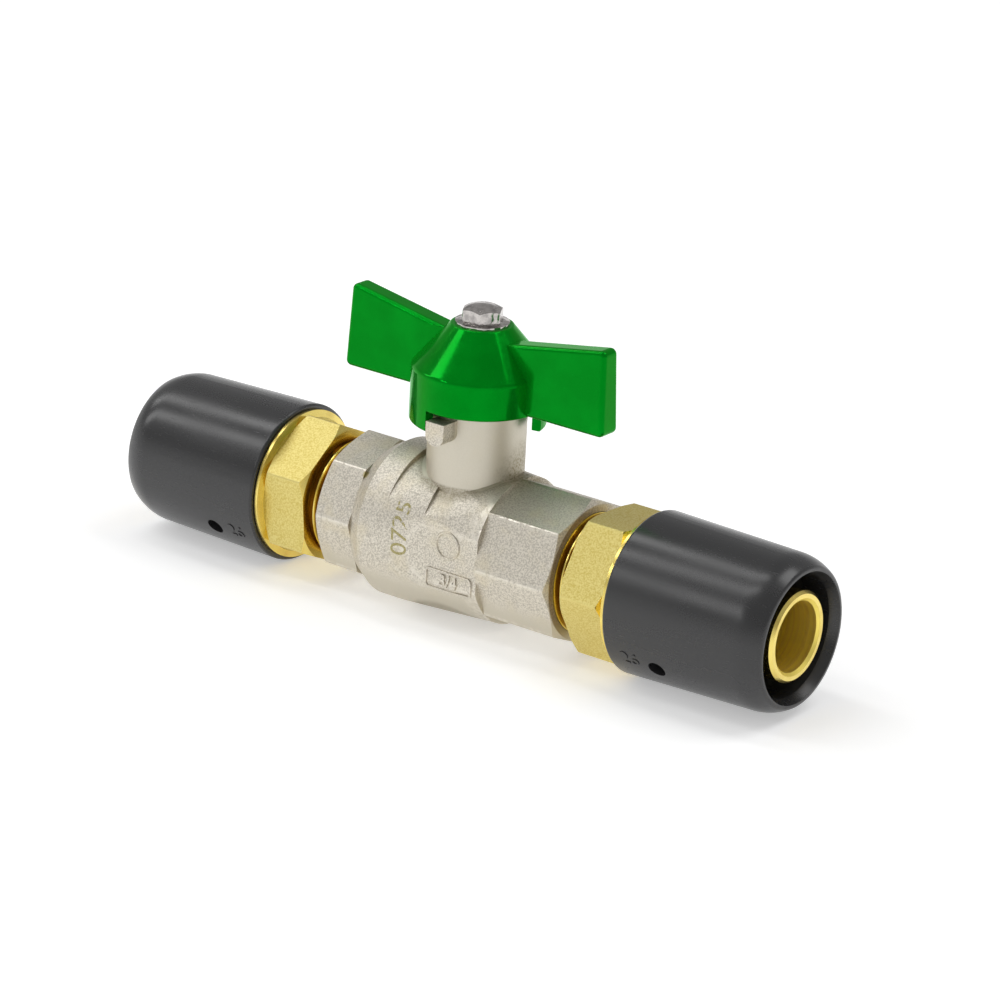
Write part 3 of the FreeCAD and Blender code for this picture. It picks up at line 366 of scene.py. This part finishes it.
def softPart(name, base, patch, rough):
    look = softLook
    finish = Finish(name)
    finish.measured()
    bloom = finish.patches(look["bloom"])
    return finish.surface({
        "Base Color": finish.mix(bloom * look["bloomShare"], base, patch),
        "Roughness": rough + look["bloomRough"] * bloom,
        "Normal": finish.bump(look["grainDepth"] * finish.noise(look["grain"]))})


burnLook = {
    "burnt": (0.36, 0.31, 0.12), "pale": (0.52, 0.47, 0.27), "metallic": 0.7,
    "grain": {"grain": 0.25, "detail": 3.0, "levels": (0.4, 0.65)},
    "rough": 0.42, "grainRough": 0.15, "grainDepth": 0.01,
}


def burntMark():
    look = burnLook
    finish = Finish("burntMark")
    finish.measured()
    grain = finish.patches(look["grain"])
    return finish.surface({
        "Base Color": finish.mix(grain, look["burnt"], look["pale"]), "Metallic": look["metallic"],
        "Roughness": look["rough"] + look["grainRough"] * grain,
        "Normal": finish.bump(look["grainDepth"] * grain)})


finishes = {
    "nickel": castNickel(), "brass": forgedBrass(), "green_paint": greenPaint(),
    "stainless": polishedSteel(), "chrome_ball": hardChrome(),
    "sleeve_plastic": blackMoulding("sleeveMoulding", mouldLook["sleeve"], mouldLook["sleeveRough"]),
    "ring_plastic": blackMoulding("ringMoulding", mouldLook["ring"], mouldLook["ringRough"]),
    "seal": softPart("blackRubber", softLook["rubber"], softLook["rubberBloom"], softLook["rubberRough"]),
    "seat_white": softPart("whiteSeatRing", softLook["white"], softLook["whiteShade"], softLook["whiteRough"]),
}
for part in frame["record"]["subparts"]:
    for place in nodes[part["node"]].material_slots:
        place.material = finishes[part["material_slot"]]
print("finishes made:", len(finishes))


def skin(node):  # the node's surface, to set marks on
    mesh = nodes[node].data
    return BVHTree.FromPolygons([v.co for v in mesh.vertices], [f.vertices for f in mesh.polygons])


# the point above the surface at a distance along the pipe and an angle from the top
def onBarrel(surface, x, angle, lift):
    outward = Vector((0, -math.sin(angle), math.cos(angle)))
    hit = surface.ray_cast(Vector((x * mm, 0, 0)) + outward * outside, -outward)[0]
    return hit + outward * lift * mm


# moves what was laid out upright at y = 0 onto the surface, as seen from the front
def ontoFront(surface, bm, foot):
    for vert in bm.verts:
        hit = surface.ray_cast(Vector((vert.co.x, -outside, vert.co.z)), Vector((0, 1, 0)))[0]
        vert.co.y += hit.y + foot * mm


def addPiece(name, bm, material, body="fixed"):
    bmesh.ops.remove_doubles(bm, verts=bm.verts, dist=0.002 * mm)
    bmesh.ops.recalc_face_normals(bm, faces=bm.faces)
    mesh = bpy.data.meshes.new(name)
    bm.to_mesh(mesh)
    bm.free()
    mesh.materials.append(material)
    piece = bpy.data.objects.new(name, mesh)
    bpy.context.scene.collection.objects.link(piece)
    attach(piece, body)
    return piece


def letters(text, height, thickness, soft):  # digits lying flat and centred, in millimetres
    curve = bpy.data.curves.new(text, "FONT")
    curve.body = text
    curve.align_x, curve.align_y = "CENTER", "CENTER"
    curve.size = height / 0.7  # the font's digits are 0.7 of its size
    curve.extrude = thickness / 2
    curve.bevel_depth = soft
    curve.resolution_u = 6
    holder = bpy.data.objects.new(text, curve)
    mesh = bpy.data.meshes.new_from_object(holder)
    bpy.data.objects.remove(holder)
    bm = bmesh.new()
    bm.from_mesh(mesh)
    bmesh.ops.remove_doubles(bm, verts=bm.verts, dist=0.001)
    return bm


burnt = {
    "text": "0725", "x": -6.9, "angle": 76.0, "height": 3.5, "thickness": 0.2, "proud": 0.02,
    "radius": 16.0, "spread": 1.16,  # the digits stand further apart than the font sets them
}


def addBurntNumber():
    bm = letters(burnt["text"], burnt["height"], burnt["thickness"], 0.0)
    body = skin("valve_body")
    for vert in bm.verts:
        across, up, lift = vert.co
        angle = math.radians(burnt["angle"]) - across * burnt["spread"] / burnt["radius"]
        vert.co = onBarrel(body, burnt["x"] - up, angle, burnt["proud"] - burnt["thickness"] / 2 + lift)
    addPiece("burnt_number", bm, burntMark())


castRing = {"x": 4.8, "z": 3.0, "radius": 2.9, "wire": 0.30, "sides": 12, "steps": 72}


def addCastRing():
    bm = bmesh.new()
    circle = bmesh.ops.create_circle(bm, segments=castRing["sides"], radius=castRing["wire"] * mm)
    bmesh.ops.translate(bm, verts=circle["verts"], vec=(castRing["radius"] * mm, 0, 0))
    bmesh.ops.spin(bm, geom=bm.verts[:] + bm.edges[:], cent=(0, 0, 0), axis=(0, 1, 0), angle=math.tau,
                   steps=castRing["steps"], use_merge=True)
    bmesh.ops.translate(bm, verts=bm.verts, vec=(castRing["x"] * mm, 0, castRing["z"] * mm))
    ontoFront(skin("valve_body"), bm, 0)
    addPiece("cast_ring", bm, finishes["nickel"])


castFrame = {
    "x": 5.4, "z": -5.1, "wide": 12.2, "tall": 4.6, "line": 0.5, "corner": 1.1, "proud": 0.32, "deep": 0.4,
    "rimRound": 0.15, "rimAngle": 1.0,  # the rim's edges turn by more than a radian
    "longSide": 2.0, "sideCuts": 6,  # cut, so that long sides follow the body
    "text": "3/4", "textHeight": 2.6, "textThickness": 0.8, "textSoft": 0.05, "textProud": 0.28,
}


def addCastFrame():
    bm = bmesh.new()
    bmesh.ops.create_grid(bm, x_segments=1, y_segments=1, size=0.5)
    bmesh.ops.scale(bm, verts=bm.verts, vec=(castFrame["wide"] * mm, castFrame["tall"] * mm, 1))
    bmesh.ops.bevel(bm, geom=bm.verts[:], offset=castFrame["corner"] * mm, affect="VERTICES", segments=5,
                    profile=0.5, material=-1)
    bmesh.ops.inset_region(bm, faces=bm.faces[:], thickness=castFrame["line"] * mm, use_boundary=True,
                           use_even_offset=True)
    middle = min(bm.faces, key=lambda face: face.calc_center_median().length)
    bmesh.ops.delete(bm, geom=[middle], context="FACES")
    risen = bmesh.ops.extrude_face_region(bm, geom=bm.faces[:])["geom"]
    top = [item for item in risen if isinstance(item, bmesh.types.BMVert)]
    bmesh.ops.translate(bm, verts=top, vec=(0, 0, (castFrame["proud"] + castFrame["deep"]) * mm))
    rim = [edge for edge in bm.edges
           if all(vert in top for vert in edge.verts) and edge.calc_face_angle(0) > castFrame["rimAngle"]]
    bmesh.ops.bevel(bm, geom=rim, offset=castFrame["rimRound"] * mm, affect="EDGES", segments=3, profile=0.5,
                    material=-1)
    sides = [edge for edge in bm.edges if edge.calc_length() > castFrame["longSide"] * mm]
    bmesh.ops.subdivide_edges(bm, edges=sides, cuts=castFrame["sideCuts"])
    bmesh.ops.rotate(bm, verts=bm.verts, matrix=Matrix.Rotation(math.pi / 2, 3, "X"))
    bmesh.ops.translate(bm, verts=bm.verts, vec=(castFrame["x"] * mm, 0, castFrame["z"] * mm))
    ontoFront(skin("valve_body"), bm, castFrame["deep"])
    addPiece("cast_frame", bm, finishes["nickel"])


def addCastSize():
    bm = letters(castFrame["text"], castFrame["textHeight"], castFrame["textThickness"], castFrame["textSoft"])
    lift = castFrame["textProud"] - castFrame["textThickness"] / 2
    for vert in bm.verts:
        across, up, out = vert.co
        vert.co = Vector((castFrame["x"] + across, -lift - out, castFrame["z"] + up)) * mm
    ontoFront(skin("valve_body"), bm, 0)
    addPiece("cast_size", bm, finishes["nickel"])


sleeveMark = {
    "text": "26", "x": 52.6, "angle": 121.0, "height": 3.2, "thickness": 0.4, "soft": 0.04, "proud": 0.12,
    "radius": 17.5,
}


def addSleeveNumbers():
    for side, sign in (("left", -1), ("right", 1)):
        bm = letters(sleeveMark["text"], sleeveMark["height"], sleeveMark["thickness"], sleeveMark["soft"])
        bmesh.ops.triangulate(bm, faces=bm.faces)
        bmesh.ops.subdivide_edges(bm, edges=bm.edges[:], cuts=1)
        sleeve = skin("sleeve_" + side)
        for vert in bm.verts:
            across, up, lift = vert.co
            angle = math.radians(sleeveMark["angle"]) - up / sleeveMark["radius"]
            vert.co = onBarrel(sleeve, sign * sleeveMark["x"] + across, angle,
                               sleeveMark["proud"] - sleeveMark["thickness"] / 2 + lift)
        addPiece("sleeve_number_" + side, bm, finishes["sleeve_plastic"])


addBurntNumber()
addCastRing()
addCastFrame()
addCastSize()
addSleeveNumbers()
print("marks made")


studio = {
    "floorAt": -17.62, "floorSize": 12.0, "floorLift": 0.38,  # millimetres down, metres wide, and its own light
    "floorColour": (0.94, 0.94, 0.94), "floorCloud": (0.80, 0.80, 0.80), "cloudGrain": 40.0, "cloudShare": 0.1,
    "sky": 0.38, "wall": 0.85, "skyFrom": (0.12, 0.28),  # a pale wall all round, seen low down
}
lamps = {  # two strips along the pipe, a broad lamp behind on the right and an upright strip in front
    "strip_back": {"at": (-0.745, 0.02, 1.126), "wide": 1.5, "deep": 0.22, "power": 3.1},
    "strip_front": {"at": (-0.745, -0.51, 1.003), "wide": 1.5, "deep": 0.22, "power": 3.1},
    "overhead": {"at": (0.49, 0.49, 1.22), "wide": 0.7, "deep": 0.7, "power": 3.6},
    "upright": {"at": (-0.59, -1.05, 0.72), "wide": 0.04, "deep": 0.45, "power": 0.9},
}
photoView = {
    "azimuth": 35.963, "elevation": 20.216, "roll": 2.952,  # degrees
    "distance": 0.95817, "aside": 0.005974, "above": 0.007548,  # metres from the ball's centre
    "lens": 162.0, "sensor": 36.0, "nearest": 0.05, "farthest": 50.0,
}


def shownRays(finish):  # 1 for rays that show the background: to the camera, in metal and through glass
    rays = [finish.node("ShaderNodeLightPath", output=name)
            for name in ("Is Camera Ray", "Is Glossy Ray", "Is Transmission Ray")]
    return finish.node("ShaderNodeMath", {"operation": "MINIMUM"}, {0: rays[0] + rays[1] + rays[2], 1: 1.0})


def addFloor():
    bm = bmesh.new()
    bmesh.ops.create_grid(bm, x_segments=1, y_segments=1, size=studio["floorSize"] / 2)
    bmesh.ops.translate(bm, verts=bm.verts, vec=(0, 0, studio["floorAt"] * mm))
    mesh = bpy.data.meshes.new("floor")
    bm.to_mesh(mesh)
    bm.free()
    floor = bpy.data.objects.new("floor", mesh)
    bpy.context.scene.collection.objects.link(floor)

    # white paper, which glows a little where it shows as background, and is clear from below
    paper = Finish("paleFloor")
    paper.measured()
    cloud = paper.noise(studio["cloudGrain"], 3.0)
    colour = paper.mix(cloud * studio["cloudShare"], studio["floorColour"], studio["floorCloud"])
    matt = paper.node("ShaderNodeBsdfDiffuse", inputs={"Color": colour})
    glow = paper.node("ShaderNodeEmission", inputs={"Color": (1, 1, 1, 1), "Strength": studio["floorLift"]})
    dark = paper.node("ShaderNodeEmission", inputs={"Strength": 0.0})
    lifted = paper.node("ShaderNodeMixShader", inputs={0: shownRays(paper), 1: dark, 2: glow})
    both = paper.node("ShaderNodeAddShader", inputs={0: matt, 1: lifted})
    clear = paper.node("ShaderNodeBsdfTransparent")
    under = paper.node("ShaderNodeNewGeometry", output="Backfacing")
    oneSided = paper.node("ShaderNodeMixShader", inputs={0: under, 1: both, 2: clear})
    paper.node("ShaderNodeOutputMaterial", inputs={"Surface": oneSided})
    mesh.materials.append(paper.material)


def addSky():
    world = bpy.data.worlds.new("studio")
    world.use_nodes = True
    bpy.context.scene.world = world
    sky = Finish("studio", world.node_tree)
    way = sky.node("ShaderNodeTexCoord", output="Generated")
    height = sky.node("ShaderNodeSeparateXYZ", inputs={0: way}, output="Z")
    strength = studio["wall"] - (studio["wall"] - studio["sky"]) * sky.step(height, studio["skyFrom"])
    soft = sky.node("ShaderNodeBackground", inputs={"Color": (1, 1, 1, 1), "Strength": strength})
    sky.node("ShaderNodeOutputWorld", inputs={"Surface": soft})


def addLamps():  # each lamp looks at the ball's centre, with its width square to the Y axis
    for name, facts in lamps.items():
        light = bpy.data.lights.new(name, "AREA")
        light.shape = "RECTANGLE"
        light.size, light.size_y = facts["wide"], facts["deep"]
        light.energy = facts["power"]
        outward = Vector(facts["at"]).normalized()
        side = Vector((0, 1, 0)).cross(outward).normalized()
        turn = Matrix((side, outward.cross(side), outward)).transposed()
        lamp = bpy.data.objects.new(name, light)
        lamp.matrix_world = Matrix.Translation(facts["at"]) @ turn.to_4x4()
        bpy.context.scene.collection.objects.link(lamp)


def addCamera():
    azimuth, elevation, roll = (math.radians(photoView[name]) for name in ("azimuth", "elevation", "roll"))
    back = Vector((math.sin(azimuth) * math.cos(elevation), -math.cos(azimuth) * math.cos(elevation),
                   math.sin(elevation)))
    level = Vector((math.cos(azimuth), math.sin(azimuth), 0))
    upright = back.cross(level)
    right = level * math.cos(roll) + upright * math.sin(roll)
    above = upright * math.cos(roll) - level * math.sin(roll)
    data = bpy.data.cameras.new("photoCamera")
    data.lens, data.sensor_width = photoView["lens"], photoView["sensor"]
    data.clip_start, data.clip_end = photoView["nearest"], photoView["farthest"]
    camera = bpy.data.objects.new("photoCamera", data)
    turn = Matrix((right, above, back)).transposed()
    place = right * photoView["aside"] + above * photoView["above"] + back * photoView["distance"]
    camera.matrix_world = Matrix.Translation(place) @ turn.to_4x4()
    bpy.context.scene.collection.objects.link(camera)
    bpy.context.scene.camera = camera


addFloor()
addSky()
addLamps()
addCamera()
bpy.context.scene.view_settings.view_transform = "Standard"
print("studio set")
